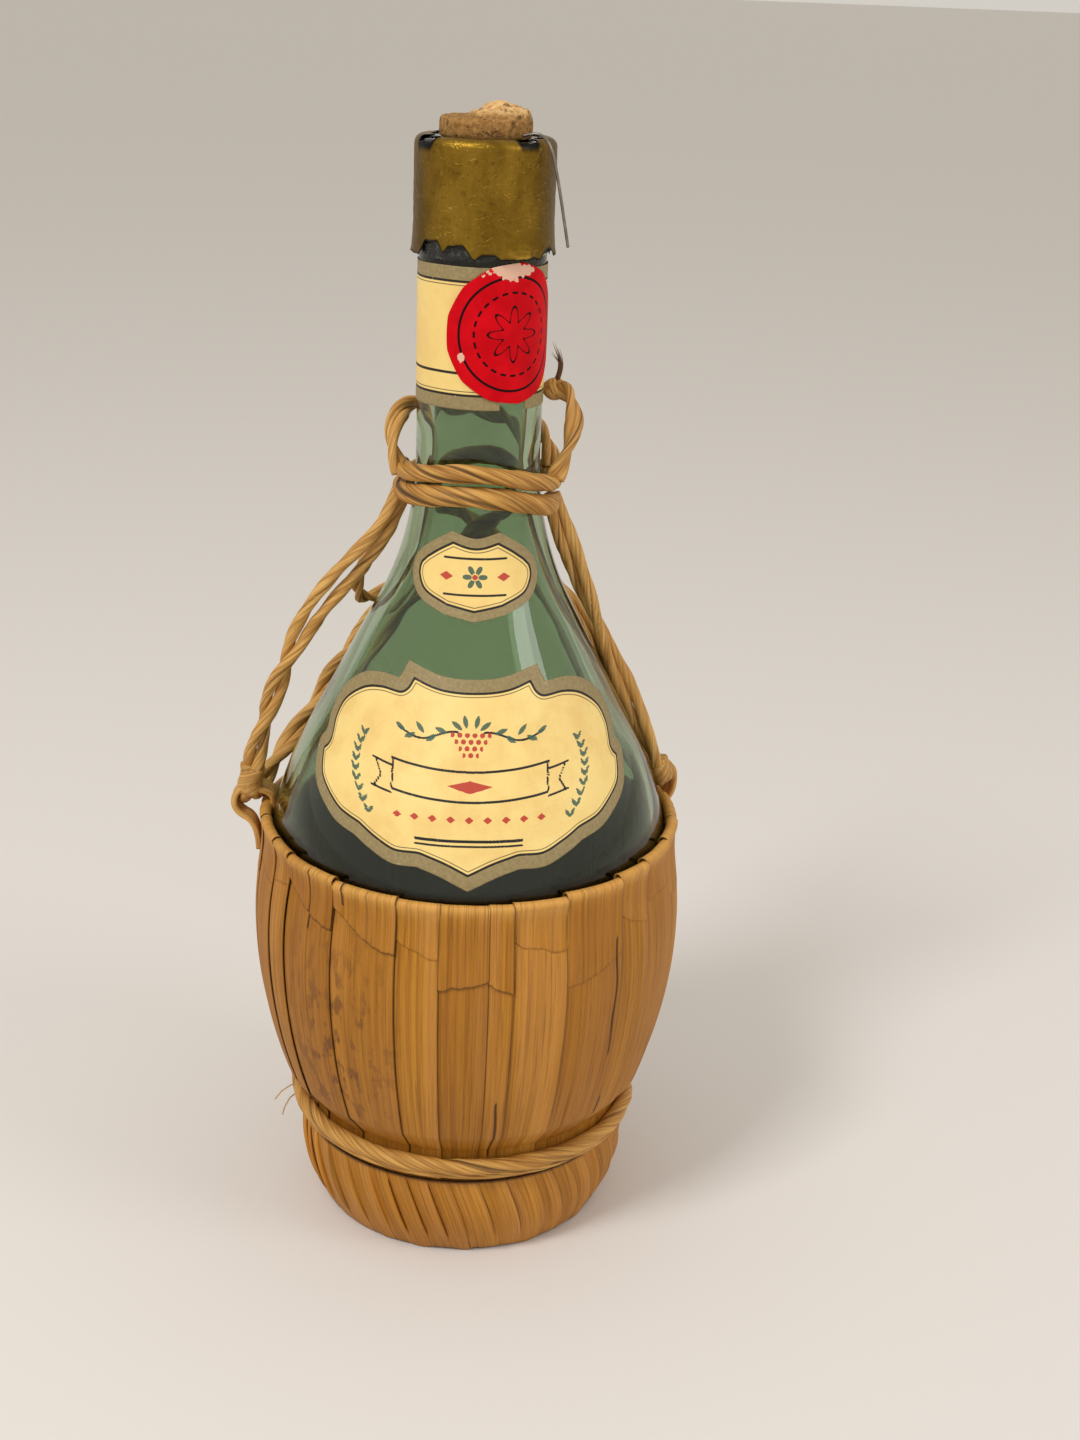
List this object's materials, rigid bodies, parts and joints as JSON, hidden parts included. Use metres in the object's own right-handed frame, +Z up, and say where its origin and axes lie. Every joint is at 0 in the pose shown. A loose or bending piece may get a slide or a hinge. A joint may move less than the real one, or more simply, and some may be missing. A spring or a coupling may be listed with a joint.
{
  "type": "straw-covered wine flask",
  "caption": "Round-bottomed glass flask in a straw basket with a straw foot, carrying slings, foil capsule, bare paper labels and a cork that pulls out.",
  "frame": {"origin": "on the floor, on the flask's axis, at the middle of the foot", "axes": "+Z up along the neck, -Y towards the front with the labels, +X to the right seen from the front"},
  "size_m": [0.1136, 0.1137, 0.2857],
  "materials": {
    "glass": "bottle-green blown glass",
    "cork": "aged cork",
    "foil": "tarnished olive-gold foil",
    "wire": "dull thin wire",
    "paper": "aged paper",
    "seal_paper": "worn red printed paper",
    "straw": "dried marsh leaf",
    "grass_cord": "twisted dried grass"
  },
  "bodies": {
    "bottle": {"back_loop_cord": "grass_cord", "capsule_wire": "wire", "cord_knot": "grass_cord", "foil_capsule": "foil", "foot_ring": "straw", "foot_wrap_01": "straw", "foot_wrap_02": "straw", "foot_wrap_03": "straw", "foot_wrap_04": "straw", "foot_wrap_05": "straw", "foot_wrap_06": "straw", "foot_wrap_07": "straw", "foot_wrap_08": "straw", "foot_wrap_09": "straw", "foot_wrap_10": "straw", "foot_wrap_11": "straw", "foot_wrap_12": "straw", "glass_flask": "glass", "knot_tail": "grass_cord", "left_sling_cord": "grass_cord", "main_label": "paper", "neck_band_label": "paper", "neck_seal": "seal_paper", "neck_wrap_cord": "grass_cord", "right_loop_cord": "grass_cord", "right_sling_cord": "grass_cord", "rim_cord": "grass_cord", "small_loop_cord": "grass_cord", "straw_strip_01": "straw", "straw_strip_02": "straw", "straw_strip_03": "straw", "straw_strip_04": "straw", "straw_strip_05": "straw", "straw_strip_06": "straw", "straw_strip_07": "straw", "straw_strip_08": "straw", "straw_strip_09": "straw", "straw_strip_10": "straw", "straw_strip_11": "straw", "straw_strip_12": "straw", "straw_strip_13": "straw", "straw_strip_14": "straw", "straw_strip_15": "straw", "straw_strip_16": "straw", "straw_strip_17": "straw", "straw_strip_18": "straw", "straw_strip_19": "straw", "straw_strip_20": "straw", "straw_strip_21": "straw", "straw_strip_22": "straw", "straw_strip_23": "straw", "straw_strip_24": "straw", "vintage_label": "paper", "waist_cord": "grass_cord"},
    "cork": {"cork_stopper": "cork"}
  },
  "joints": [
    {"name": "cork_pull", "type": "slide", "parent": "bottle", "child": "cork", "axis": [0, 0, 1], "range_m": [0, 0.05]}
  ]
}
